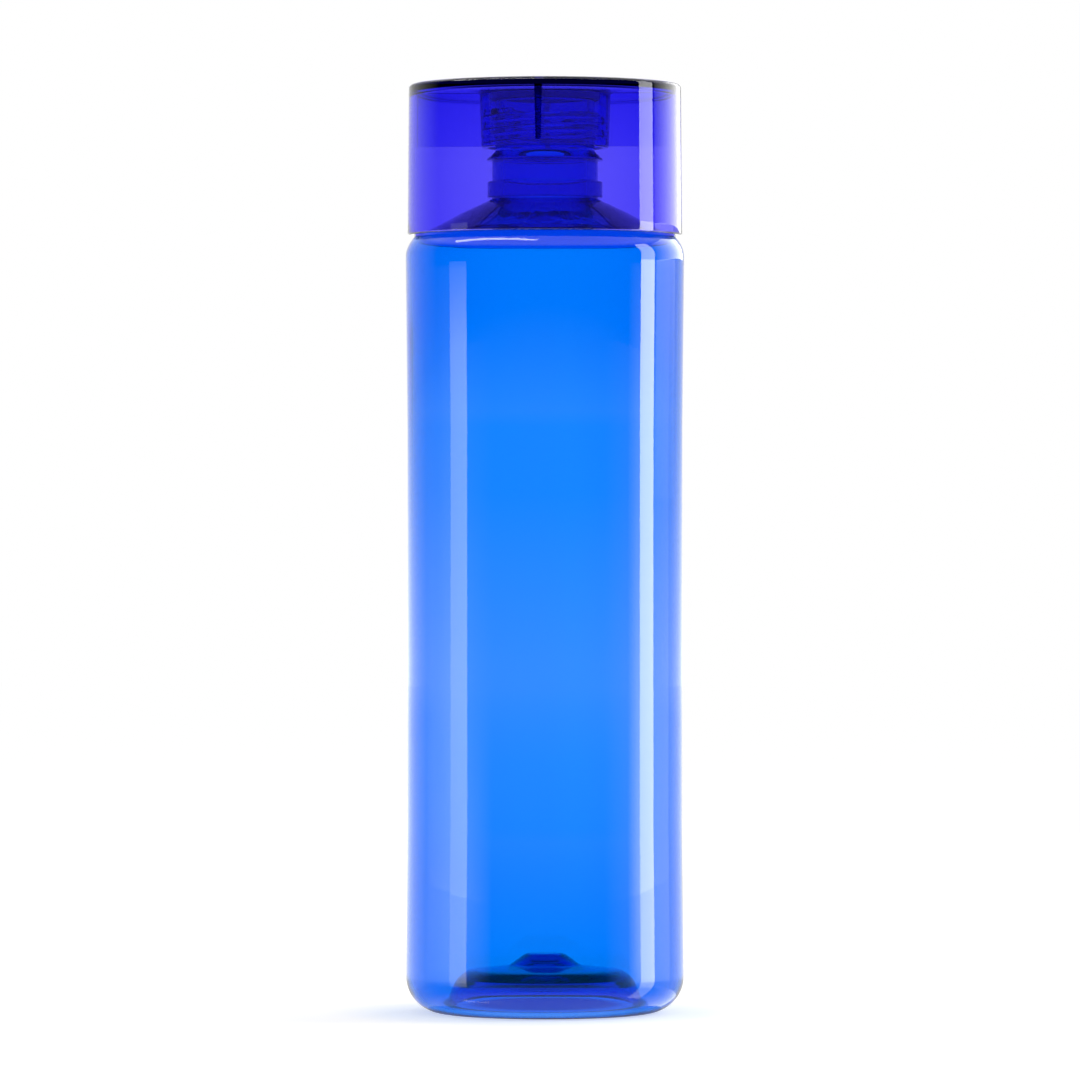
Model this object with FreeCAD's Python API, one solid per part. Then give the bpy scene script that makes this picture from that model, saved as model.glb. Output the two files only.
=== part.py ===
import FreeCAD, Part
import math
import os

from FreeCAD import Vector

# Drinking bottle of clear tinted plastic with a wide screw cap and a seal ring.
# Millimetres, +Z up, origin on the table under the bottle's axis.

# Side and shoulder of the bottle
body_dia = 73.2                # at the sharp corners, before they are rounded
body_corner_height = 202.9     # table to the sharp corner of side and shoulder
waist_depth = 1.05             # how far the side's hollow draws in at its sharp corner
waist_round = 5000.0           # radius of the long hollow in the side
shoulder_slope_deg = 25.0      # fall of the shoulder, from level
shoulder_edge_round = 7.0
base_edge_round = 9.6
side_wall = 1.1
shoulder_wall = 1.1            # at the shoulder's edge
shoulder_root_wall = 2.0       # where the neck stands on the shoulder

# Base of the bottle: a standing ring around a push-up with a boss in its middle
foot_bore_dia = 48.0           # inside of the standing ring
foot_floor = 1.4               # thickness of the floor over the standing ring
under_flank_dia = 42.4         # underside: top of the push-up's flank
under_roof_height = 7.8        # underside: roof at the flank
under_crown_dia = 15.0         # underside: foot of the middle hollow
under_crown_height = 9.2
under_hollow_dia = 7.0         # underside: top of the middle hollow
under_hollow_height = 11.6
flank_wall = 2.4               # measured level through the flank
roof_wall = 3.2
boss_foot_dia = 18.8
boss_top_dia = 10.0
boss_top_height = 15.6
foot_bore_round = 1.2
foot_floor_round = 2.0         # inside, at the foot of the push-up
under_flank_round = 4.0
flank_round = 5.0              # inside, at the top of the push-up's flank
boss_round = 3.0

# Neck of the bottle, from the shoulder up
thread_root_dia = 26.2         # neck between the turns of its thread
neck_wall = 2.1                # between the turns
neck_bore_round = 2.5          # where the bore opens into the shoulder
neck_step = 0.8                # plain neck wider than the thread's root, on the radius
collar_lift = 0.3              # shoulder to the underside of the collar
collar_stand = 1.2             # collar beyond the plain neck, on the radius
collar_height = 4.2
plain_neck = 5.6               # collar to bead
bead_stand = 2.1               # bead beyond the thread's root, on the radius
bead_land = 0.4                # upright edge of the bead
bead_slope = 1.9               # sloped top of the bead
neck_edge_round = 0.3
rim_round = 0.5

# Screw thread, one start, right hand
thread_pitch = 3.4
thread_depth = 1.25
thread_crest = 0.9             # width of the neck thread at its crest
flank_run = 0.4                # widening of a thread for each millimetre of depth, on each side
thread_top_drop = 2.4          # rim to the middle of the neck thread's upper end
thread_foot_rise = 2.8         # bead to the middle of the neck thread's lower end
neck_turns = 2.5
cap_turns = 2.25
cap_thread_rise = 1.7          # mouth of the socket to the middle of the cap thread's lower end
thread_fade_deg = 40.0         # turn over which each end of a thread dies away
thread_step_deg = 15.0         # turn between two sections of a thread
thread_sink = 0.5              # depth of a thread's foot in the wall that carries it
thread_fade_sink = 0.15        # depth of a thread's crest in that wall at its very end

# Seal ring
seal_thickness = 2.0
seal_lip = 0.5                 # seal inside the neck's bore, on the radius
seal_round = 0.3

# Cap
top_plate = 1.9
cap_top_round = 1.0
skirt_inset = 0.55             # skirt's mouth inside the body's side
skirt_wall = 1.7
skirt_draft = 0.3              # narrowing of the skirt's radius from mouth to top
skirt_mouth_round = 0.5
skirt_corner_round = 1.5       # inside, between skirt and top plate
socket_wall = 1.95             # at the mouth of the socket
socket_draft = 0.5             # widening of the socket's outside from mouth to top plate
socket_mouth_chamfer = 0.5
socket_root_round = 0.8
web_count = 4
web_first_deg = -93.0          # turn of the first web from +X
web_foot = 1.3                 # thickness of a web at its lower edge
web_root = 2.0                 # thickness of a web at the top plate
web_lift = 0.4                 # mouth of the socket to the webs' lower edge

# Clearances between the pieces
thread_crest_gap = 0.4         # crest of each thread to the root of the other, on the radius
thread_flank_gap = 0.4         # mean gap at each side of a thread, along the axis
thread_seat_gap = 0.25         # the smaller of the two, at the side that holds the cap down
seal_side_gap = 0.25
skirt_gap = 0.3                # skirt's mouth above the shoulder
socket_gap = 1.0               # mouth of the socket above the bead

# Share of a side that the roundings at its two ends may take up together
side_in_use = 0.96

# Levels and radii that follow from the sizes
body_r = body_dia / 2
thread_root_r = thread_root_dia / 2
thread_crest_r = thread_root_r + thread_depth
bore_r = thread_root_r - neck_wall
neck_r = thread_root_r + neck_step
collar_r = neck_r + collar_stand
bead_r = thread_root_r + bead_stand
shoulder_slope = math.radians(shoulder_slope_deg)
mid_height = body_corner_height / 2


def cone_height(radius):
    """Height of the shoulder's slope at a radius, before its edge is rounded."""
    return body_corner_height + (body_r - radius) * math.tan(shoulder_slope)


def shoulder_height(radius):
    """Height of the rounded shoulder at a radius."""
    centre_r = body_r - shoulder_edge_round
    if radius < centre_r + shoulder_edge_round * math.sin(shoulder_slope):
        return cone_height(radius)
    tangent = shoulder_edge_round * math.tan((math.pi / 2 - shoulder_slope) / 2)
    rise = math.sqrt(shoulder_edge_round**2 - (radius - centre_r) ** 2)
    return body_corner_height - tangent + rise


collar_under = cone_height(neck_r) + collar_lift
collar_top = collar_under + collar_height
bead_under = collar_top + plain_neck
bead_edge_top = bead_under + bead_land
bead_top = bead_edge_top + bead_slope
neck_thread_foot = bead_top + thread_foot_rise
rim_height = neck_thread_foot + thread_pitch * neck_turns + thread_top_drop

plate_under = rim_height + seal_thickness
cap_top = plate_under + top_plate
skirt_mouth_r = body_r - skirt_inset
skirt_inner_r = skirt_mouth_r - skirt_wall
skirt_mouth = shoulder_height(skirt_inner_r) + skirt_gap
socket_bore_r = thread_crest_r + thread_crest_gap
socket_mouth = bead_top + socket_gap
socket_outer_r = socket_bore_r + socket_wall
cap_thread_crest_r = thread_root_r + thread_crest_gap


def rounded_outline(corners):
    """Closed wire in the XZ plane through (radius, height, rounding) corners.

    Two roundings that are too large for the side between them share it.
    An arc wider than the outline is kept as a spline, so that its surface is no larger than the piece.
    """
    count = len(corners)
    points = [Vector(radius, 0, height) for radius, height, _ in corners]
    highest = max(height for _, height, _ in corners)
    half_angles = []
    tangents = []
    for index, (_, _, rounding) in enumerate(corners):
        to_last = points[index - 1] - points[index]
        to_next = points[(index + 1) % count] - points[index]
        half_angles.append(to_last.getAngle(to_next) / 2)
        tangents.append(rounding / math.tan(half_angles[index]))
    shares = []
    for index in range(count):
        after = (index + 1) % count
        side = points[index].distanceToPoint(points[after])
        wanted = tangents[index] + tangents[after]
        shares.append(min(1.0, side_in_use * side / wanted) if wanted > 0 else 1.0)
    edges = []
    starts = []
    ends = []
    for index, here in enumerate(points):
        to_last = (points[index - 1] - here).normalize()
        to_next = (points[(index + 1) % count] - here).normalize()
        tangent = tangents[index] * min(shares[index - 1], shares[index])
        starts.append(here + to_last * tangent)
        ends.append(here + to_next * tangent)
        if tangent > 0:
            towards_centre = (to_last + to_next).normalize()
            radius = tangent * math.tan(half_angles[index])
            middle = here + towards_centre * (radius / math.sin(half_angles[index]) - radius)
            arc = Part.Arc(starts[index], middle, ends[index]).toShape()
            edges.append(arc.toNurbs().Edges[0] if radius > highest else arc)
    for index in range(count):
        after = (index + 1) % count
        edges.append(Part.makeLine(ends[index], starts[after]))
    return Part.Wire(Part.__sortEdges__(edges))


def turned(corners):
    """Solid of revolution about Z of an outline of (radius, height, rounding) corners."""
    face = Part.Face(rounded_outline(corners))
    return face.revolve(Vector(0, 0, 0), Vector(0, 0, 1), 360)


def thread_ridge(root_r, crest_r, crest_width, foot_height, first_angle, turns):
    """Helical ridge on a wall of radius root_r that dies away into it at both ends."""
    outward = 1 if crest_r > root_r else -1
    depth = abs(crest_r - root_r)
    steps = round(turns * 360 / thread_step_deg)
    sections = []
    for step in range(steps + 1):
        turn = math.radians(step * thread_step_deg)
        angle = first_angle + turn
        height = foot_height + thread_pitch * turn / (2 * math.pi)
        from_end = min(step, steps - step) * thread_step_deg
        share = min(1.0, from_end / thread_fade_deg)
        stands = share * depth - (1 - share) * thread_fade_sink
        foot_half = crest_width / 2 + flank_run * (stands + thread_sink)
        profile = [
            (root_r - outward * thread_sink, -foot_half),
            (root_r + outward * stands, -crest_width / 2),
            (root_r + outward * stands, crest_width / 2),
            (root_r - outward * thread_sink, foot_half),
        ]
        corners = [
            Vector(radius * math.cos(angle), radius * math.sin(angle), height + up)
            for radius, up in profile
        ]
        sections.append(Part.makePolygon(corners + corners[:1]))
    return Part.makeLoft(sections, True, False)


def bottle_body():
    """Blow-moulded bottle: base, side, shoulder and threaded neck in one piece."""
    foot_bore_r = foot_bore_dia / 2
    under_flank_r = under_flank_dia / 2
    inner_r = body_r - side_wall
    edge_drop = shoulder_wall / math.cos(shoulder_slope)
    root_drop = shoulder_root_wall / math.cos(shoulder_slope)
    flank_lean = (foot_bore_r - under_flank_r) / under_roof_height
    roof_height = under_roof_height + roof_wall
    outside = [
        (0, under_hollow_height, 0),
        (under_hollow_dia / 2, under_hollow_height, boss_round),
        (under_crown_dia / 2, under_crown_height, boss_round),
        (under_flank_r, under_roof_height, under_flank_round),
        (foot_bore_r, 0, foot_bore_round),
        (body_r, 0, base_edge_round),
        (body_r - waist_depth, mid_height, waist_round),
        (body_r, body_corner_height, shoulder_edge_round),
        (neck_r, cone_height(neck_r), 0),
        (neck_r, collar_under, 0),
        (collar_r, collar_under, neck_edge_round),
        (collar_r, collar_top, neck_edge_round),
        (neck_r, collar_top, neck_edge_round),
        (neck_r, bead_under, neck_edge_round),
        (bead_r, bead_under, 0),
        (bead_r, bead_edge_top, neck_edge_round),
        (thread_root_r, bead_top, neck_edge_round),
        (thread_root_r, rim_height, rim_round),
    ]
    inside = [
        (bore_r, rim_height, rim_round),
        (bore_r, cone_height(bore_r) - root_drop, neck_bore_round),
        (inner_r, cone_height(inner_r) - edge_drop, shoulder_edge_round - side_wall),
        (inner_r - waist_depth, mid_height, waist_round),
        (inner_r, foot_floor, base_edge_round - side_wall),
        (foot_bore_r + flank_wall - flank_lean * foot_floor, foot_floor, foot_floor_round),
        (foot_bore_r + flank_wall - flank_lean * roof_height, roof_height, flank_round),
        (boss_foot_dia / 2, under_crown_height + roof_wall, boss_round),
        (boss_top_dia / 2, boss_top_height, boss_round),
        (0, boss_top_height, 0),
    ]
    thread = thread_ridge(
        thread_root_r, thread_crest_r, thread_crest, neck_thread_foot, 0.0, neck_turns
    )
    return turned(outside + inside).fuse(thread)


def cap_thread():
    """Thread of the socket, which fills the groove of the neck's thread with clearance."""
    overlap = thread_crest_r - cap_thread_crest_r
    neck_width = thread_crest + 2 * flank_run * overlap
    crest_width = thread_pitch - neck_width - 2 * thread_flank_gap
    foot_height = socket_mouth + cap_thread_rise
    groove_shift = thread_flank_gap - thread_seat_gap - thread_pitch / 2
    climb = foot_height - (neck_thread_foot + groove_shift)
    first_angle = 2 * math.pi * climb / thread_pitch
    return thread_ridge(
        socket_bore_r, cap_thread_crest_r, crest_width, foot_height, first_angle, cap_turns
    )


def cap_web(angle_deg):
    """Upright web from the socket to the skirt, thicker towards the top plate."""
    inner_end = socket_bore_r + socket_wall / 2
    outer_end = skirt_inner_r + skirt_wall / 2
    foot = socket_mouth + web_lift
    root = plate_under + top_plate / 2
    section = [
        Vector(inner_end, -web_foot / 2, foot),
        Vector(inner_end, web_foot / 2, foot),
        Vector(inner_end, web_root / 2, root),
        Vector(inner_end, -web_root / 2, root),
    ]
    face = Part.Face(Part.makePolygon(section + section[:1]))
    web = face.extrude(Vector(outer_end - inner_end, 0, 0))
    web.rotate(Vector(0, 0, 0), Vector(0, 0, 1), angle_deg)
    return web


def screw_cap():
    """Injection-moulded cap: top plate, skirt, threaded socket and webs in one piece."""
    skirt_top_r = skirt_mouth_r - skirt_draft
    outline = [
        (0, plate_under, 0),
        (socket_bore_r, plate_under, 0),
        (socket_bore_r, socket_mouth + socket_mouth_chamfer, 0),
        (socket_bore_r + socket_mouth_chamfer, socket_mouth, 0),
        (socket_outer_r, socket_mouth, socket_mouth_chamfer),
        (socket_outer_r + socket_draft, plate_under, socket_root_round),
        (skirt_top_r - skirt_wall, plate_under, skirt_corner_round),
        (skirt_inner_r, skirt_mouth, skirt_mouth_round),
        (skirt_mouth_r, skirt_mouth, skirt_mouth_round),
        (skirt_top_r, cap_top, cap_top_round),
        (0, cap_top, 0),
    ]
    webs = [cap_web(web_first_deg + 360 * index / web_count) for index in range(web_count)]
    return turned(outline).fuse(webs + [cap_thread()])


def seal_ring():
    """Flat silicone ring between the rim of the neck and the cap's top plate."""
    outer_r = socket_bore_r - seal_side_gap
    inner_r = bore_r - seal_lip
    return turned([
        (inner_r, rim_height, seal_round),
        (outer_r, rim_height, seal_round),
        (outer_r, plate_under, seal_round),
        (inner_r, plate_under, seal_round),
    ])


os.makedirs("parts", exist_ok=True)
pieces = {
    "bottle_body": bottle_body(),
    "screw_cap": screw_cap(),
    "seal_ring": seal_ring(),
}
for name, shape in pieces.items():
    shape.exportStep("parts/" + name + ".step")
    box = shape.optimalBoundingBox()
    print(name, "solids", len(shape.Solids), "valid", shape.isValid(), "volume", round(shape.Volume, 1))
    print("  width", round(box.XLength, 2), "height", round(box.ZMin, 2), "to", round(box.ZMax, 2))
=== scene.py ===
import math

import bmesh
import bpy
from mathutils import Matrix, Vector, noise


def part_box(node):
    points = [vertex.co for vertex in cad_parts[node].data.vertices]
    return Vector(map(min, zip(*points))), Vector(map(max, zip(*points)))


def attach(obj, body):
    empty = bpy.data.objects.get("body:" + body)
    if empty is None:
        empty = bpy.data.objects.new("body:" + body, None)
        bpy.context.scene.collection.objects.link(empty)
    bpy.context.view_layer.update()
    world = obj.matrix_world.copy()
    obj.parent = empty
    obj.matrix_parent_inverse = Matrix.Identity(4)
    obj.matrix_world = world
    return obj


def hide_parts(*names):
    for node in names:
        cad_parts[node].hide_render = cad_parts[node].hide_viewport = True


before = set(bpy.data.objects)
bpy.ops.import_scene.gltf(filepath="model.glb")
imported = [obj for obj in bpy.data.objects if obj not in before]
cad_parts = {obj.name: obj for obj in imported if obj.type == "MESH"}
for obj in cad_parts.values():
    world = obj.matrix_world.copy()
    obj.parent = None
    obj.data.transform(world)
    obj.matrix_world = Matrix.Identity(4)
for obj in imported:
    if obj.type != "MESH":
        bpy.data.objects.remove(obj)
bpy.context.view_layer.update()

# Bottle: one blow-moulded piece of clear azure plastic. The thin side draws in a little at half height and
# the thick base pushes up round a boss. The neck was injection-moulded first, so its collar, bead, screw
# thread and rim are crisp, and it stands on the sloped shoulder.
mm = 0.001
body_r = 36.6 * mm
side_top = 202.9 * mm
side_middle = side_top / 2
waist_in = 1.05 * mm
waist_round = 5000 * mm
shoulder_slope = math.radians(25)
shoulder_round = 7 * mm
base_round = 9.6 * mm
side_wall = 1.1 * mm
shoulder_wall = 1.1 * mm
shoulder_root_wall = 2.0 * mm
foot_bore_r = 24 * mm
foot_floor = 1.4 * mm
foot_round = 1.2 * mm
foot_floor_round = 2 * mm
flank_top_r = 21.2 * mm
flank_top = 7.8 * mm
flank_wall = 2.4 * mm
flank_round = 5 * mm
under_flank_round = 4 * mm
roof_wall = 3.2 * mm
crown_r = 7.5 * mm
crown = 9.2 * mm
hollow_r = 3.5 * mm
hollow_top = 11.6 * mm
boss_foot_r = 9.4 * mm
boss_r = 5 * mm
boss_top = 15.6 * mm
boss_round = 3 * mm
bore_r = 11 * mm
bore_round = 2.5 * mm
neck_r = 13.9 * mm
thread_root_r = 13.1 * mm
thread_depth = 1.25 * mm
thread_pitch = 3.4 * mm
thread_crest = 0.9 * mm
thread_crest_round = 0.2 * mm
thread_flank_run = 0.4
thread_sink = 0.5 * mm
thread_fade_sink = 0.15 * mm
thread_fade = 40 / 360
neck_turns = 2.5
neck_thread_rise = 2.8 * mm
collar_lift = 0.3 * mm
collar_r = 15.1 * mm
collar_height = 4.2 * mm
plain_neck = 5.6 * mm
bead_r = 15.2 * mm
bead_land = 0.4 * mm
bead_slope = 1.9 * mm
crisp_round = 0.3 * mm
rim_round = 0.5 * mm
turn_steps = 192
merge_reach = 0.001 * mm
smooth_angle = math.radians(40)
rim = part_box("bottle_body")[1].z


def slope_height(radius):
    """Height of the shoulder's slope at a radius."""
    return side_top + (body_r - radius) * math.tan(shoulder_slope)


def pick_nearest(elements, middle, place):
    """Selects the one point or edge of an outline that lies nearest to a place, in edit mode."""
    nearest = min(elements, key=lambda element: (middle(element) - place).length)
    nearest.select_set(True)


def draw_outline(name, corners):
    """Draws a line through (radius, height, rounding, cuts) corners and rounds them, in edit mode.

    cuts is how many points divide the straight run after a corner.
    """
    points = [Vector((radius, 0, height)) for radius, height, _, _ in corners]
    bpy.ops.object.select_all(action="DESELECT")
    bpy.ops.mesh.primitive_plane_add(size=mm)
    piece = bpy.context.object
    piece.name = name
    piece.data.name = name
    bpy.ops.object.mode_set(mode="EDIT")
    bpy.ops.mesh.select_mode(type="VERT")
    bpy.ops.mesh.merge(type="CENTER")
    bpy.ops.transform.translate(value=points[0])
    for here, after in zip(points, points[1:]):
        bpy.ops.mesh.extrude_region_move(TRANSFORM_OT_translate={"value": after - here})
    tangents = [0.0] * len(points)
    for index in range(1, len(points) - 1):
        rounding = corners[index][2]
        if rounding == 0:
            continue
        to_last = points[index - 1] - points[index]
        to_next = points[index + 1] - points[index]
        opening = to_last.angle(to_next)
        tangents[index] = rounding / math.tan(opening / 2)
        arc_steps = max(6, math.ceil((math.pi - opening) / math.radians(6)))
        bpy.ops.mesh.select_all(action="DESELECT")
        drawn = bmesh.from_edit_mesh(piece.data)
        pick_nearest(drawn.verts, lambda vert: vert.co, points[index])
        bpy.ops.mesh.bevel(offset=tangents[index], segments=arc_steps, profile=0.5, affect="VERTICES")
    for index, (_, _, _, cuts) in enumerate(corners[:-1]):
        if cuts == 0:
            continue
        along = (points[index + 1] - points[index]).normalized()
        start = points[index] + along * tangents[index]
        stop = points[index + 1] - along * tangents[index + 1]
        bpy.ops.mesh.select_all(action="DESELECT")
        drawn = bmesh.from_edit_mesh(piece.data)
        pick_nearest(drawn.edges, lambda edge: (edge.verts[0].co + edge.verts[1].co) / 2, (start + stop) / 2)
        bpy.ops.mesh.subdivide(number_cuts=cuts)
    return piece


def turn_outline(name, corners):
    """Turns an outline once round the bottle's axis into a closed skin."""
    piece = draw_outline(name, corners)
    bpy.ops.object.mode_set(mode="OBJECT")
    turning = piece.modifiers.new("turning", "SCREW")
    turning.axis = "Z"
    turning.angle = math.tau
    turning.steps = turn_steps
    turning.render_steps = turn_steps
    turning.use_merge_vertices = True
    turning.merge_threshold = merge_reach
    bpy.ops.object.modifier_apply(modifier=turning.name)
    bpy.ops.object.mode_set(mode="EDIT")
    bpy.ops.mesh.select_all(action="SELECT")
    bpy.ops.mesh.remove_doubles(threshold=merge_reach)
    bpy.ops.mesh.normals_make_consistent(inside=False)
    bpy.ops.object.mode_set(mode="OBJECT")
    return piece


def ease(share):
    """Smooth step from 0 to 1."""
    share = min(1.0, max(0.0, share))
    return share * share * (3 - 2 * share)


def join_to(piece, addition):
    """Melts an addition into a piece."""
    joint = piece.modifiers.new("joint", "BOOLEAN")
    joint.operation = "UNION"
    joint.solver = "EXACT"
    joint.object = addition
    bpy.ops.object.select_all(action="DESELECT")
    bpy.context.view_layer.objects.active = piece
    piece.select_set(True)
    bpy.ops.object.modifier_apply(modifier=joint.name)
    bpy.data.objects.remove(addition)


def add_thread(piece, root_r, crest_r, crest, foot, first_angle, turns):
    """Winds a right-hand screw thread from foot up the wall of radius root_r, dying away at both ends."""
    outward = 1 if crest_r > root_r else -1
    sunk_r = root_r - outward * thread_sink
    depth = abs(crest_r - root_r)
    foot_half = crest / 2 + thread_flank_run * (depth + thread_sink)
    ridge = draw_outline("thread", [
        (sunk_r, foot - foot_half, 0, 0),
        (crest_r, foot - crest / 2, thread_crest_round, 0),
        (crest_r, foot + crest / 2, thread_crest_round, 0),
        (sunk_r, foot + foot_half, 0, 0),
    ])
    bpy.ops.mesh.select_all(action="DESELECT")
    drawn = bmesh.from_edit_mesh(ridge.data)
    for end in (foot - foot_half, foot + foot_half):
        pick_nearest(drawn.verts, lambda vert: vert.co, Vector((sunk_r, 0, end)))
    bpy.ops.mesh.edge_face_add()
    bpy.ops.object.mode_set(mode="OBJECT")
    winding = ridge.modifiers.new("winding", "SCREW")
    winding.axis = "Z"
    winding.angle = math.tau * turns
    winding.screw_offset = thread_pitch * turns
    winding.steps = round(turn_steps * turns)
    winding.render_steps = winding.steps
    bpy.ops.object.modifier_apply(modifier=winding.name)
    for vertex in ridge.data.vertices:
        radius = math.hypot(vertex.co.x, vertex.co.y)
        share = (math.atan2(vertex.co.y, vertex.co.x) % math.tau) / math.tau
        turn = share + round((vertex.co.z - foot) / thread_pitch - share)
        share = min(1.0, max(0.0, min(turn, turns - turn) / thread_fade))
        stands = share * depth - (1 - share) * thread_fade_sink
        up_flank = abs(radius - sunk_r) / (depth + thread_sink)
        slimmer = thread_flank_run * (1 - up_flank) * (depth - stands)
        vertex.co.z -= math.copysign(slimmer, vertex.co.z - foot - thread_pitch * turn)
        grown = (sunk_r + outward * up_flank * (stands + thread_sink)) / radius
        vertex.co.x *= grown
        vertex.co.y *= grown
    bpy.ops.object.mode_set(mode="EDIT")
    bpy.ops.mesh.select_all(action="SELECT")
    bpy.ops.mesh.fill_holes(sides=0)
    bpy.ops.mesh.select_all(action="SELECT")
    bpy.ops.mesh.normals_make_consistent(inside=False)
    bpy.ops.transform.rotate(value=-first_angle, orient_axis="Z", center_override=(0, 0, 0))
    bpy.ops.object.mode_set(mode="OBJECT")
    join_to(piece, ridge)


collar_under = slope_height(neck_r) + collar_lift
collar_top = collar_under + collar_height
bead_under = collar_top + plain_neck
bead_top = bead_under + bead_land + bead_slope
inner_r = body_r - side_wall
edge_drop = shoulder_wall / math.cos(shoulder_slope)
root_drop = shoulder_root_wall / math.cos(shoulder_slope)
roof = flank_top + roof_wall
flank_lean = (foot_bore_r - flank_top_r) / flank_top
bottle_outline = [
    (0, hollow_top, 0, 0),
    (hollow_r, hollow_top, boss_round, 0),
    (crown_r, crown, boss_round, 4),
    (flank_top_r, flank_top, under_flank_round, 4),
    (foot_bore_r, 0, foot_round, 1),
    (body_r, 0, base_round, 10),
    (body_r - waist_in, side_middle, waist_round, 10),
    (body_r, side_top, shoulder_round, 8),
    (neck_r, slope_height(neck_r), 0, 0),
    (neck_r, collar_under, 0, 0),
    (collar_r, collar_under, crisp_round, 2),
    (collar_r, collar_top, crisp_round, 0),
    (neck_r, collar_top, crisp_round, 3),
    (neck_r, bead_under, crisp_round, 0),
    (bead_r, bead_under, 0, 0),
    (bead_r, bead_under + bead_land, crisp_round, 2),
    (thread_root_r, bead_top, crisp_round, 6),
    (thread_root_r, rim, rim_round, 1),
    (bore_r, rim, rim_round, 8),
    (bore_r, slope_height(bore_r) - root_drop, bore_round, 8),
    (inner_r, slope_height(inner_r) - edge_drop, shoulder_round - side_wall, 20),
    (inner_r - waist_in, side_middle, waist_round, 20),
    (inner_r, foot_floor, base_round - side_wall, 1),
    (foot_bore_r + flank_wall - flank_lean * foot_floor, foot_floor, foot_floor_round, 4),
    (foot_bore_r + flank_wall - flank_lean * roof, roof, flank_round, 4),
    (boss_foot_r, crown + roof_wall, boss_round, 1),
    (boss_r, boss_top, boss_round, 1),
    (0, boss_top, 0, 0),
]
bottle = turn_outline("bottle", bottle_outline)

# The blown wall is thicker towards the shoulder and the base, and wavers in long upright streaks on its
# inside.
swell_low = (60 * mm, 26 * mm, 0.14 * mm)
swell_high = (150 * mm, 190 * mm, 0.29 * mm)
streak_reach = 0.10 * mm
streak_low = 22 * mm
streak_high = 190 * mm
streak_fade = 12 * mm
streak_round = 3.2
streak_length = 160 * mm
hollow_side_r = 30 * mm
upright = (0.45, 0.85)
facings = [vertex.normal.copy() for vertex in bottle.data.vertices]
for vertex, facing in zip(bottle.data.vertices, facings):
    radius = math.hypot(vertex.co.x, vertex.co.y)
    if radius < hollow_side_r:
        continue
    outward = Vector((vertex.co.x, vertex.co.y, 0)) / radius
    inside = ease((-facing.dot(outward) - upright[0]) / (upright[1] - upright[0]))
    swollen = 0.0
    for start, full, reach in (swell_low, swell_high):
        swollen += reach * ease((vertex.co.z - start) / (full - start))
    place = outward * streak_round + Vector((0, 0, vertex.co.z / streak_length))
    streaky = ease(min(vertex.co.z - streak_low, streak_high - vertex.co.z) / streak_fade)
    vertex.co += outward * (inside * (streaky * streak_reach * noise.noise(place) - swollen))
neck_thread_foot = bead_top + neck_thread_rise
add_thread(
    bottle, thread_root_r, thread_root_r + thread_depth, thread_crest, neck_thread_foot, 0.0, neck_turns
)
bpy.ops.object.shade_smooth_by_angle(angle=smooth_angle)


def new_group(name, inputs, outputs):
    """Empty shader node group with float inputs of (name, value) and named float outputs."""
    group = bpy.data.node_groups.new(name, "ShaderNodeTree")
    for socket, value in inputs:
        made = group.interface.new_socket(socket, in_out="INPUT", socket_type="NodeSocketFloat")
        made.default_value = value
    for socket in outputs:
        group.interface.new_socket(socket, in_out="OUTPUT", socket_type="NodeSocketFloat")
    return group


# Both mouldings show how the plastic flowed: upright streaks that make reflections waver, a faint orange
# peel, and a polish that handling has dulled in soft patches.
peel_share = 0.04
dull_patches = (0.48, 0.75)
flow_group = new_group(
    "moulding flow",
    [("Streak Scale", 160.0), ("Streak Length", 0.06), ("Peel Scale", 900.0), ("Dull Scale", 45.0)],
    ["Height", "Dulling"],
)


def build_flow_group(group):
    """Fills the moulding flow group: streaks and peel as a height, and patches of dulling."""
    nodes = group.nodes
    link = group.links.new
    given = nodes.new("NodeGroupInput")
    result = nodes.new("NodeGroupOutput")
    place = nodes.new("ShaderNodeTexCoord")
    stretch = nodes.new("ShaderNodeCombineXYZ")
    stretch.inputs["X"].default_value = 1.0
    stretch.inputs["Y"].default_value = 1.0
    link(given.outputs["Streak Length"], stretch.inputs["Z"])
    drawn_out = nodes.new("ShaderNodeVectorMath")
    drawn_out.operation = "MULTIPLY"
    link(place.outputs["Object"], drawn_out.inputs[0])
    link(stretch.outputs["Vector"], drawn_out.inputs[1])
    streaks = nodes.new("ShaderNodeTexNoise")
    streaks.inputs["Detail"].default_value = 2.0
    link(drawn_out.outputs["Vector"], streaks.inputs["Vector"])
    link(given.outputs["Streak Scale"], streaks.inputs["Scale"])
    peel = nodes.new("ShaderNodeTexNoise")
    peel.inputs["Detail"].default_value = 1.0
    link(place.outputs["Object"], peel.inputs["Vector"])
    link(given.outputs["Peel Scale"], peel.inputs["Scale"])
    height = nodes.new("ShaderNodeMath")
    height.operation = "MULTIPLY_ADD"
    height.inputs[1].default_value = peel_share
    link(peel.outputs["Fac"], height.inputs[0])
    link(streaks.outputs["Fac"], height.inputs[2])
    link(height.outputs["Value"], result.inputs["Height"])
    patches = nodes.new("ShaderNodeTexNoise")
    patches.inputs["Detail"].default_value = 5.0
    patches.inputs["Roughness"].default_value = 0.6
    link(place.outputs["Object"], patches.inputs["Vector"])
    link(given.outputs["Dull Scale"], patches.inputs["Scale"])
    soften = nodes.new("ShaderNodeMapRange")
    soften.interpolation_type = "SMOOTHSTEP"
    soften.inputs["From Min"].default_value = dull_patches[0]
    soften.inputs["From Max"].default_value = dull_patches[1]
    link(patches.outputs["Fac"], soften.inputs["Value"])
    link(soften.outputs["Result"], result.inputs["Dulling"])


build_flow_group(flow_group)


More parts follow.
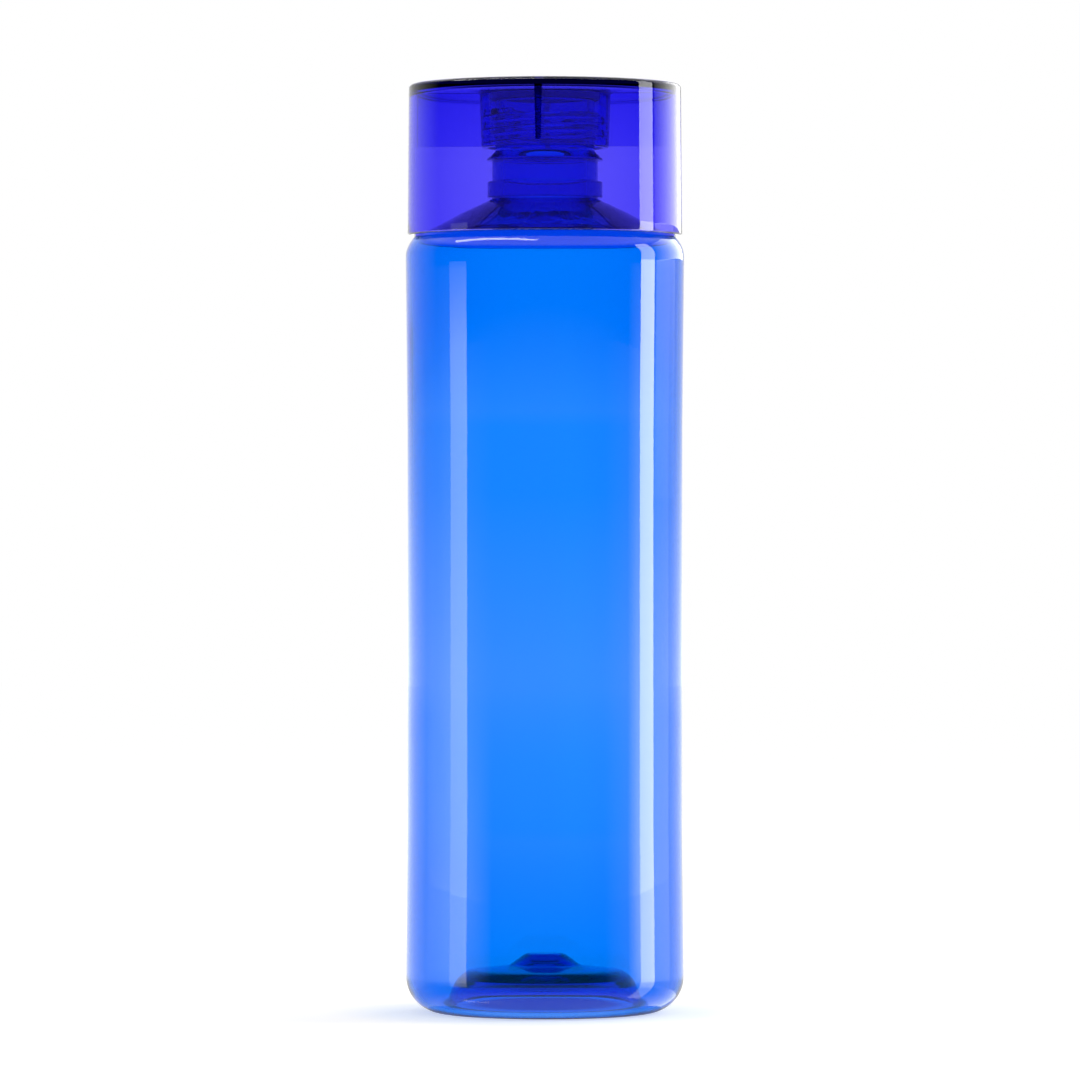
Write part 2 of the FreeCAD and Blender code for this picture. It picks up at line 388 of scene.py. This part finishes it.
def clear_plastic(name, tint, polish, dulled, wave, ior, dye, dye_density):
    """Clear dyed plastic: polished skin over a dyed volume, with the marks of its moulding."""
    material = bpy.data.materials.new(name)
    material.use_nodes = True
    nodes = material.node_tree.nodes
    link = material.node_tree.links.new
    skin = nodes["Principled BSDF"]
    skin.inputs["Base Color"].default_value = (*tint, 1)
    skin.inputs["Transmission Weight"].default_value = 1.0
    skin.inputs["IOR"].default_value = ior
    flow = nodes.new("ShaderNodeGroup")
    flow.node_tree = flow_group
    gloss = nodes.new("ShaderNodeMapRange")
    gloss.inputs["To Min"].default_value = polish
    gloss.inputs["To Max"].default_value = dulled
    link(flow.outputs["Dulling"], gloss.inputs["Value"])
    link(gloss.outputs["Result"], skin.inputs["Roughness"])
    ripple = nodes.new("ShaderNodeBump")
    ripple.inputs["Strength"].default_value = 1.0
    ripple.inputs["Distance"].default_value = wave
    link(flow.outputs["Height"], ripple.inputs["Height"])
    link(ripple.outputs["Normal"], skin.inputs["Normal"])
    volume = nodes.new("ShaderNodeVolumeAbsorption")
    volume.inputs["Color"].default_value = (*dye, 1)
    volume.inputs["Density"].default_value = dye_density
    link(volume.outputs["Volume"], nodes["Material Output"].inputs["Volume"])
    return material


bottle_plastic = clear_plastic(
    "azure bottle plastic",
    tint=(0.6, 0.66, 1.0),
    polish=0.0,
    dulled=0.02,
    wave=0.012 * mm,
    ior=1.55,
    dye=(0.0, 0.861, 0.975),
    dye_density=2640.0,
)
bottle.data.materials.clear()
bottle.data.materials.append(bottle_plastic)
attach(bottle, "bottle")
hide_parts("bottle_body")

# Seal: a flat ring of natural silicone, milky and soft. It is pressed into the bottom of the cap's socket,
# and the rim of the neck squeezes it against the top plate. A hair of air parts its faces from theirs.
seal_outer_r = 14.5 * mm
seal_inner_r = 10.5 * mm
seal_round = 0.3 * mm
seal_air = 0.03 * mm
seal_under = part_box("seal_ring")[0].z + seal_air
seal_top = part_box("seal_ring")[1].z - seal_air
seal_middle_r = (seal_inner_r + seal_outer_r) / 2
silicone_cloud = (0.60, 0.66, 0.74)
silicone_pale = (0.78, 0.82, 0.86)
silicone_satin = (0.35, 0.55)
silicone_depth = 2 * mm
seal = turn_outline("seal", [
    (seal_middle_r, seal_under, 0, 2),
    (seal_outer_r, seal_under, seal_round, 2),
    (seal_outer_r, seal_top, seal_round, 4),
    (seal_inner_r, seal_top, seal_round, 2),
    (seal_inner_r, seal_under, seal_round, 2),
    (seal_middle_r, seal_under, 0, 0),
])
bpy.ops.object.shade_smooth_by_angle(angle=smooth_angle)


def milky_silicone():
    """Natural silicone: a soft, cloudy body with a fine dusty grain."""
    material = bpy.data.materials.new("milky silicone")
    material.use_nodes = True
    nodes = material.node_tree.nodes
    link = material.node_tree.links.new
    skin = nodes["Principled BSDF"]
    skin.inputs["Subsurface Weight"].default_value = 0.6
    skin.inputs["Subsurface Radius"].default_value = (silicone_depth, silicone_depth, silicone_depth)
    skin.inputs["IOR"].default_value = 1.41
    place = nodes.new("ShaderNodeTexCoord")
    cloud = nodes.new("ShaderNodeTexNoise")
    cloud.inputs["Scale"].default_value = 240.0
    cloud.inputs["Detail"].default_value = 4.0
    link(place.outputs["Object"], cloud.inputs["Vector"])
    colour = nodes.new("ShaderNodeValToRGB")
    colour.color_ramp.elements[0].color = (*silicone_cloud, 1)
    colour.color_ramp.elements[1].color = (*silicone_pale, 1)
    link(cloud.outputs["Fac"], colour.inputs["Fac"])
    link(colour.outputs["Color"], skin.inputs["Base Color"])
    grain = nodes.new("ShaderNodeTexNoise")
    grain.inputs["Scale"].default_value = 4000.0
    link(place.outputs["Object"], grain.inputs["Vector"])
    satin = nodes.new("ShaderNodeMapRange")
    satin.inputs["To Min"].default_value = silicone_satin[0]
    satin.inputs["To Max"].default_value = silicone_satin[1]
    link(grain.outputs["Fac"], satin.inputs["Value"])
    link(satin.outputs["Result"], skin.inputs["Roughness"])
    dusty = nodes.new("ShaderNodeBump")
    dusty.inputs["Strength"].default_value = 0.4
    dusty.inputs["Distance"].default_value = 0.02 * mm
    link(grain.outputs["Fac"], dusty.inputs["Height"])
    link(dusty.outputs["Normal"], skin.inputs["Normal"])
    return material


seal.data.materials.clear()
seal.data.materials.append(milky_silicone())
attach(seal, "seal")
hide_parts("seal_ring")

# Cap: one injection moulding of clear violet-blue plastic. A flat top carries the wide outer skirt and the
# narrow threaded socket that screws onto the neck, and four upright webs stiffen the space between them.
cap_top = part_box("screw_cap")[1].z
cap_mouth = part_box("screw_cap")[0].z
plate_under = seal_top + seal_air
cap_top_round = 1 * mm
skirt_mouth_r = 36.05 * mm
skirt_wall = 1.7 * mm
skirt_draft = 0.3 * mm
skirt_mouth_round = 0.5 * mm
skirt_corner_round = 1.5 * mm
socket_bore_r = 14.75 * mm
socket_wall = 1.95 * mm
socket_draft = 0.5 * mm
socket_chamfer = 0.5 * mm
socket_root_round = 0.8 * mm
socket_over_bead = 1 * mm
socket_mouth = bead_top + socket_over_bead
cap_thread_depth = 1.25 * mm
cap_thread_crest = 1.02 * mm
cap_thread_rise = 1.7 * mm
cap_thread_foot = socket_mouth + cap_thread_rise
cap_thread_first = math.radians(153.5)
cap_turns = 2.25
web_count = 4
web_first = math.radians(-93)
web_foot = 1.3 * mm
web_root = 2 * mm
web_over_mouth = 0.4 * mm
web_under = socket_mouth + web_over_mouth
skirt_top_r = skirt_mouth_r - skirt_draft
skirt_inner_r = skirt_mouth_r - skirt_wall
socket_outer_r = socket_bore_r + socket_wall
cap = turn_outline("cap", [
    (0, plate_under, 0, 2),
    (socket_bore_r, plate_under, 0, 6),
    (socket_bore_r, socket_mouth + socket_chamfer, 0, 0),
    (socket_bore_r + socket_chamfer, socket_mouth, 0, 0),
    (socket_outer_r, socket_mouth, socket_chamfer, 4),
    (socket_outer_r + socket_draft, plate_under, socket_root_round, 4),
    (skirt_top_r - skirt_wall, plate_under, skirt_corner_round, 8),
    (skirt_inner_r, cap_mouth, skirt_mouth_round, 0),
    (skirt_mouth_r, cap_mouth, skirt_mouth_round, 8),
    (skirt_top_r, cap_top, cap_top_round, 6),
    (0, cap_top, 0, 0),
])


def add_web(angle):
    """One upright web from the socket's wall to the skirt's wall, thicker towards the top plate."""
    inner_end = socket_bore_r + socket_wall / 2
    outer_end = skirt_inner_r + skirt_wall / 2
    root = (plate_under + cap_top) / 2
    bpy.ops.object.select_all(action="DESELECT")
    bpy.ops.mesh.primitive_cube_add(size=1)
    web = bpy.context.object
    bpy.ops.object.mode_set(mode="EDIT")
    bpy.ops.transform.resize(value=(outer_end - inner_end, web_foot, root - web_under))
    bpy.ops.transform.translate(value=((inner_end + outer_end) / 2, 0, (root + web_under) / 2))
    bpy.ops.mesh.select_all(action="DESELECT")
    for face in bmesh.from_edit_mesh(web.data).faces:
        face.select_set(face.normal.z > 0.5)
    bpy.ops.transform.resize(value=(1, web_root / web_foot, 1))
    bpy.ops.mesh.select_all(action="SELECT")
    bpy.ops.transform.rotate(value=-angle, orient_axis="Z", center_override=(0, 0, 0))
    bpy.ops.object.mode_set(mode="OBJECT")
    return web


for index in range(web_count):
    join_to(cap, add_web(web_first + math.tau * index / web_count))
add_thread(
    cap,
    socket_bore_r,
    socket_bore_r - cap_thread_depth,
    cap_thread_crest,
    cap_thread_foot,
    cap_thread_first,
    cap_turns,
)
bpy.ops.object.shade_smooth_by_angle(angle=smooth_angle)

cap_plastic = clear_plastic(
    "violet cap plastic",
    tint=(1.0, 1.0, 1.0),
    polish=0.0,
    dulled=0.02,
    wave=0.008 * mm,
    ior=1.55,
    dye=(0.084, 0.0, 0.925),
    dye_density=785.0,
)
cap.data.materials.clear()
cap.data.materials.append(cap_plastic)
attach(cap, "cap")
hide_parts("screw_cap")

# Floor: a plain white table top, polished enough to carry the lamps' light on to the foot of the bottle. What
# looks straight at it sees it as white as the backdrop, apart from the bottle's shadow and a painted blue
# shade round its foot. Through the bottle it is as white as the backdrop too, apart from a painted blue
# shadow under the foot. Its mirror carries a painted glow and is dimmed near the foot as painted shade.
floor_r = 4.0
floor_sides = 128
floor_white = 0.8
floor_lift = 0.68
backdrop = 1.25
# Painted blue shadow under the bottle's foot, seen only through the plastic, fading out between two radii.
painted_foot_shadow = (0.015, 0.1, 0.45)
painted_foot_shadow_r = (0.016, 0.0262)
# Painted blue shade on the floor round the foot, standing in for light that has come through the bottle; it
# fades out between two radii.
painted_foot_shade = (0.78, 0.86, 1.0)
painted_foot_shade_r = (0.037, 0.06)
# Painted glow that the floor shows only in reflections: brighter far off, behind the bottle and near its
# foot.
painted_haze_r = (0.4, 4.0)
haze_level = 0.7
painted_haze_behind = (-0.4, 0.4)
painted_haze_behind_level = 0.5
painted_foot_haze_r = (0.05, 0.18)
painted_foot_haze_level = 0.2
# Painted shade in the floor's mirror: it mirrors less near the foot.
mirror_level = 0.85
painted_shade_mirror_foot_level = 0.4
mirror_slant = (0.1, 0.4)
mirror_blur = 0.05
floor_gap = 0.02 * mm
bpy.ops.object.select_all(action="DESELECT")
bpy.ops.mesh.primitive_circle_add(vertices=floor_sides, radius=floor_r, fill_type="NGON")
floor = bpy.context.object
floor.name = "floor"
bpy.ops.object.mode_set(mode="EDIT")
bpy.ops.transform.translate(value=(0, 0, -floor_gap))
bpy.ops.object.mode_set(mode="OBJECT")


def ramp_node(nodes, low, high, to_low=0.0, to_high=1.0, smooth=True):
    """Map Range node from low to high."""
    ramp = nodes.new("ShaderNodeMapRange")
    ramp.interpolation_type = "SMOOTHSTEP" if smooth else "LINEAR"
    ramp.inputs["From Min"].default_value = low
    ramp.inputs["From Max"].default_value = high
    ramp.inputs["To Min"].default_value = to_low
    ramp.inputs["To Max"].default_value = to_high
    return ramp


def math_node(nodes, operation, value=0.0):
    """Math node whose second input has a value."""
    made = nodes.new("ShaderNodeMath")
    made.operation = operation
    made.inputs[1].default_value = value
    return made


def white_table():
    """Matt white for what looks at it, and a polished top for what the bottle mirrors at a flat angle; the
    mirror carries a painted glow and is dimmed near the foot as painted shade.
    """
    material = bpy.data.materials.new("white table")
    material.use_nodes = True
    nodes = material.node_tree.nodes
    link = material.node_tree.links.new
    matt = nodes["Principled BSDF"]
    matt.inputs["Base Color"].default_value = (floor_white, floor_white, floor_white, 1)
    matt.inputs["Roughness"].default_value = 1.0
    matt.inputs["Specular IOR Level"].default_value = 0.0
    place = nodes.new("ShaderNodeTexCoord")
    from_axis = nodes.new("ShaderNodeVectorMath")
    from_axis.operation = "LENGTH"
    link(place.outputs["Object"], from_axis.inputs[0])
    path = nodes.new("ShaderNodeLightPath")
    seen = math_node(nodes, "MAXIMUM")
    link(path.outputs["Is Camera Ray"], seen.inputs[0])
    link(path.outputs["Is Glossy Ray"], seen.inputs[1])
    lift = math_node(nodes, "MULTIPLY", floor_lift)
    link(seen.outputs["Value"], lift.inputs[0])
    link(lift.outputs["Value"], matt.inputs["Emission Strength"])
    # Painted blue shade round the foot, in the glow that lifts the floor to white.
    away = ramp_node(nodes, *painted_foot_shade_r)
    link(from_axis.outputs["Value"], away.inputs["Value"])
    tint = nodes.new("ShaderNodeMix")
    tint.data_type = "RGBA"
    tint.inputs["A"].default_value = (*painted_foot_shade, 1)
    tint.inputs["B"].default_value = (1, 1, 1, 1)
    link(away.outputs["Result"], tint.inputs["Factor"])
    link(tint.outputs["Result"], matt.inputs["Emission Color"])
    through = nodes.new("ShaderNodeEmission")
    through.inputs["Strength"].default_value = backdrop
    # Painted blue shadow under the foot, for what looks through the plastic.
    outside_painted_shadow = ramp_node(nodes, *painted_foot_shadow_r)
    link(from_axis.outputs["Value"], outside_painted_shadow.inputs["Value"])
    shade = nodes.new("ShaderNodeMix")
    shade.data_type = "RGBA"
    shade.inputs["A"].default_value = (*painted_foot_shadow, 1)
    shade.inputs["B"].default_value = (1, 1, 1, 1)
    link(outside_painted_shadow.outputs["Result"], shade.inputs["Factor"])
    link(shade.outputs["Result"], through.inputs["Color"])
    polish = nodes.new("ShaderNodeBsdfGlossy")
    polish.inputs["Roughness"].default_value = mirror_blur
    # Painted shade: the floor mirrors less near the foot.
    painted_mirror_shade = ramp_node(nodes, *painted_foot_haze_r, painted_shade_mirror_foot_level, mirror_level)
    link(from_axis.outputs["Value"], painted_mirror_shade.inputs["Value"])
    link(painted_mirror_shade.outputs["Result"], polish.inputs["Color"])
    # Painted glow in the mirror, brighter far off, behind the bottle and near the foot.
    far = ramp_node(nodes, *painted_haze_r, to_high=haze_level, smooth=False)
    link(from_axis.outputs["Value"], far.inputs["Value"])
    split = nodes.new("ShaderNodeSeparateXYZ")
    link(place.outputs["Object"], split.inputs["Vector"])
    backward = math_node(nodes, "DIVIDE")
    link(split.outputs["Y"], backward.inputs[0])
    link(from_axis.outputs["Value"], backward.inputs[1])
    behind = ramp_node(nodes, *painted_haze_behind, to_high=painted_haze_behind_level)
    link(backward.outputs["Value"], behind.inputs["Value"])
    foot = ramp_node(nodes, *painted_foot_haze_r, painted_foot_haze_level, 0.0)
    link(from_axis.outputs["Value"], foot.inputs["Value"])
    level = far.outputs["Result"]
    for ramp in (behind, foot):
        lighter = math_node(nodes, "MAXIMUM")
        link(level, lighter.inputs[0])
        link(ramp.outputs["Result"], lighter.inputs[1])
        level = lighter.outputs["Value"]
    haze = nodes.new("ShaderNodeEmission")
    link(level, haze.inputs["Strength"])
    mirrored = nodes.new("ShaderNodeAddShader")
    link(polish.outputs["BSDF"], mirrored.inputs[0])
    link(haze.outputs["Emission"], mirrored.inputs[1])
    slant = nodes.new("ShaderNodeLayerWeight")
    grazing = ramp_node(nodes, *mirror_slant)
    link(slant.outputs["Facing"], grazing.inputs["Value"])
    sheen = nodes.new("ShaderNodeMixShader")
    link(grazing.outputs["Result"], sheen.inputs["Fac"])
    link(matt.outputs["BSDF"], sheen.inputs[1])
    link(mirrored.outputs["Shader"], sheen.inputs[2])
    top = matt.outputs["BSDF"]
    for ray, found in (("Is Glossy Ray", sheen), ("Is Transmission Ray", through)):
        choice = nodes.new("ShaderNodeMixShader")
        link(path.outputs[ray], choice.inputs["Fac"])
        link(top, choice.inputs[1])
        link(found.outputs[0], choice.inputs[2])
        top = choice.outputs["Shader"]
    link(top, nodes["Material Output"].inputs["Surface"])
    return material


floor.data.materials.append(white_table())

# Lamps: a narrow bright strip to the right of the bottle and a broad soft one to the left, both upright and
# turned to the bottle, with a bar overhead for the shoulder. The studio round them is white, and dark only
# behind the camera.
lamp_reach = 0.9
right_near = 85.0
right_far = 101.5
panel_near = 104.0
left_near = -67.0
left_far = -84.5
left_glow_near = -44.0
table_level = 0.0
low_level = 0.06
left_level = 0.185
left_fade = 0.218
left_top = 0.236
left_glow_top = 0.23
right_glow_top = 0.232
panel_level = 0.14
cap_level = 0.242
strip_top = 0.7


def add_strip(name, near_deg, far_deg, low, high, radiance, near=1.0, far=1.0, foot=1.0, top=1.0):
    """Upright strip lamp that faces the bottle, between two angles from the camera, right being positive.

    near, far, foot and top are the shares of its light at the edge by the camera, at the one away from it, at
    its foot and at its top.
    """
    angle = math.radians((near_deg + far_deg) / 2)
    half_width = lamp_reach * math.tan(math.radians(abs(far_deg - near_deg)) / 2)
    lamp = bpy.data.lights.new(name, "AREA")
    lamp.shape = "RECTANGLE"
    lamp.size = 2 * half_width
    lamp.size_y = high - low
    lamp.energy = radiance * math.pi * lamp.size * lamp.size_y
    lamp.use_nodes = True
    nodes = lamp.node_tree.nodes
    link = lamp.node_tree.links.new
    place = nodes.new("ShaderNodeNewGeometry")
    split = nodes.new("ShaderNodeSeparateXYZ")
    link(place.outputs["Parametric"], split.inputs["Vector"])
    across = ramp_node(nodes, 0.0, 1.0, *((near, far) if angle > 0 else (far, near)), smooth=False)
    link(split.outputs["X"], across.inputs["Value"])
    upward = ramp_node(nodes, 0.0, 1.0, foot, top, smooth=False)
    link(split.outputs["Y"], upward.inputs["Value"])
    share = math_node(nodes, "MULTIPLY")
    link(across.outputs["Result"], share.inputs[0])
    link(upward.outputs["Result"], share.inputs[1])
    link(share.outputs["Value"], nodes["Emission"].inputs["Strength"])
    strip = bpy.data.objects.new(name, lamp)
    strip.location = (lamp_reach * math.sin(angle), -lamp_reach * math.cos(angle), (low + high) / 2)
    strip.rotation_euler = (math.pi / 2, 0, angle)
    strip.visible_camera = False
    strip.visible_transmission = False
    bpy.context.scene.collection.objects.link(strip)


add_strip("right strip", right_near, right_far, table_level, cap_level, 8.7)
add_strip("right strip above", right_near, right_far, cap_level, strip_top, 4.8)
add_strip("right glow before", 72.0, right_near, table_level, right_glow_top, 3.4, near=0.0, top=0.05)
add_strip("right glow wide", 50.0, right_near, table_level, left_level, 0.8, near=0.0, top=0.3)
add_strip("right glow behind", right_far, 125.0, table_level, cap_level, 1.9, far=0.3, top=0.15)
add_strip("right panel", panel_near, 160.0, cap_level, strip_top, 3.6, near=0.1)
add_strip("right panel below", panel_near, 136.0, panel_level, cap_level, 1.6, far=0.3, foot=0.1)
add_strip("left glow before", left_glow_near, left_near, table_level, low_level, 1.3, near=0.0, top=0.3)
add_strip("left glow above", left_glow_near, left_near, low_level, left_level, 0.39, near=0.0, top=0.25)
add_strip("left strip", left_near, left_far, table_level, left_level, 4.4, far=0.8, top=0.75)
add_strip("left strip above", left_near, left_far, left_level, left_fade, 3.3, far=0.8, top=0.3)
add_strip("left strip top", left_near, left_far, left_fade, left_top, 1.0, far=0.8, top=0.55)
add_strip("left glow", left_far, -116.0, table_level, left_glow_top, 2.4, far=0.0, top=0.0)


def add_bar(name, start, end, width, radiance):
    """Bar lamp overhead between two places, turned to the bottle, that shows only as a glint."""
    middle = (start + end) / 2
    along = (end - start).normalized()
    away = (middle - along * middle.dot(along)).normalized()
    lamp = bpy.data.lights.new(name, "AREA")
    lamp.shape = "RECTANGLE"
    lamp.size = (end - start).length
    lamp.size_y = width
    lamp.energy = radiance * math.pi * lamp.size * lamp.size_y
    bar = bpy.data.objects.new(name, lamp)
    bar.location = middle
    bar.rotation_euler = Matrix((along, away.cross(along), away)).transposed().to_euler()
    bar.visible_camera = False
    bar.visible_transmission = False
    bar.visible_diffuse = False
    bpy.context.scene.collection.objects.link(bar)


bar_start = Vector((-0.81, 0.04, 0.79))
bar_end = Vector((-0.1, -0.62, 0.96))
add_bar("shoulder bar", bar_start, bar_end, width=0.1, radiance=9.0)

studio = bpy.data.worlds.new("studio")
bpy.context.scene.world = studio
studio.use_nodes = True


def build_studio(world, fill, sides, low_haze, overhead, ceiling, ceiling_level):
    """White studio, whose reflections are dark behind the camera.

    sides, low_haze and overhead are the ranges of direction over which those reflections turn white. Through
    the plastic, the studio dims to ceiling_level over the range ceiling.
    """
    nodes = world.node_tree.nodes
    link = world.node_tree.links.new
    background = nodes["Background"]
    background.inputs["Color"].default_value = (1, 1, 1, 1)
    place = nodes.new("ShaderNodeTexCoord")
    split = nodes.new("ShaderNodeSeparateXYZ")
    link(place.outputs["Generated"], split.inputs["Vector"])
    white = [
        ("Y", ramp_node(nodes, *sides, smooth=False)),
        ("Z", ramp_node(nodes, *low_haze, to_high=haze_level, smooth=False)),
        ("Z", ramp_node(nodes, *overhead)),
    ]
    mirrored = None
    for axis, ramp in white:
        link(split.outputs[axis], ramp.inputs["Value"])
        if mirrored is None:
            mirrored = ramp.outputs["Result"]
            continue
        total = math_node(nodes, "ADD")
        link(mirrored, total.inputs[0])
        link(ramp.outputs["Result"], total.inputs[1])
        mirrored = total.outputs["Value"]
    through = ramp_node(nodes, *ceiling, backdrop, ceiling_level)
    link(split.outputs["Z"], through.inputs["Value"])
    path = nodes.new("ShaderNodeLightPath")
    level = fill
    for ray, found in (
        ("Is Glossy Ray", mirrored),
        ("Is Transmission Ray", through.outputs["Result"]),
        ("Is Camera Ray", 1.0),
    ):
        choice = nodes.new("ShaderNodeMix")
        link(path.outputs[ray], choice.inputs["Factor"])
        for socket, value in (("A", level), ("B", found)):
            if isinstance(value, float):
                choice.inputs[socket].default_value = value
            else:
                link(value, choice.inputs[socket])
        level = choice.outputs["Result"]
    link(level, background.inputs["Strength"])


build_studio(
    studio,
    fill=0.4,
    sides=(0.2, 1.05),
    low_haze=(0.014, -0.018),
    overhead=(0.42, 0.6),
    ceiling=(0.45, 0.8),
    ceiling_level=0.1,
)

# Camera: a long lens, so that the upright sides stay parallel. It stands level in front of the bottle, at
# half its height.
camera_data = bpy.data.cameras.new("camera")
camera_data.sensor_width = 36.0
camera_data.lens = 226.8
camera_data.clip_end = 100.0
camera = bpy.data.objects.new("camera", camera_data)
camera.location = (-0.0013, -1.787, 0.124)
camera.rotation_euler = (math.pi / 2, 0, 0)
scene = bpy.context.scene
scene.collection.objects.link(camera)
scene.camera = camera
scene.view_settings.view_transform = "Standard"
scene.cycles.max_bounces = 32
scene.cycles.transmission_bounces = 32
scene.cycles.glossy_bounces = 8
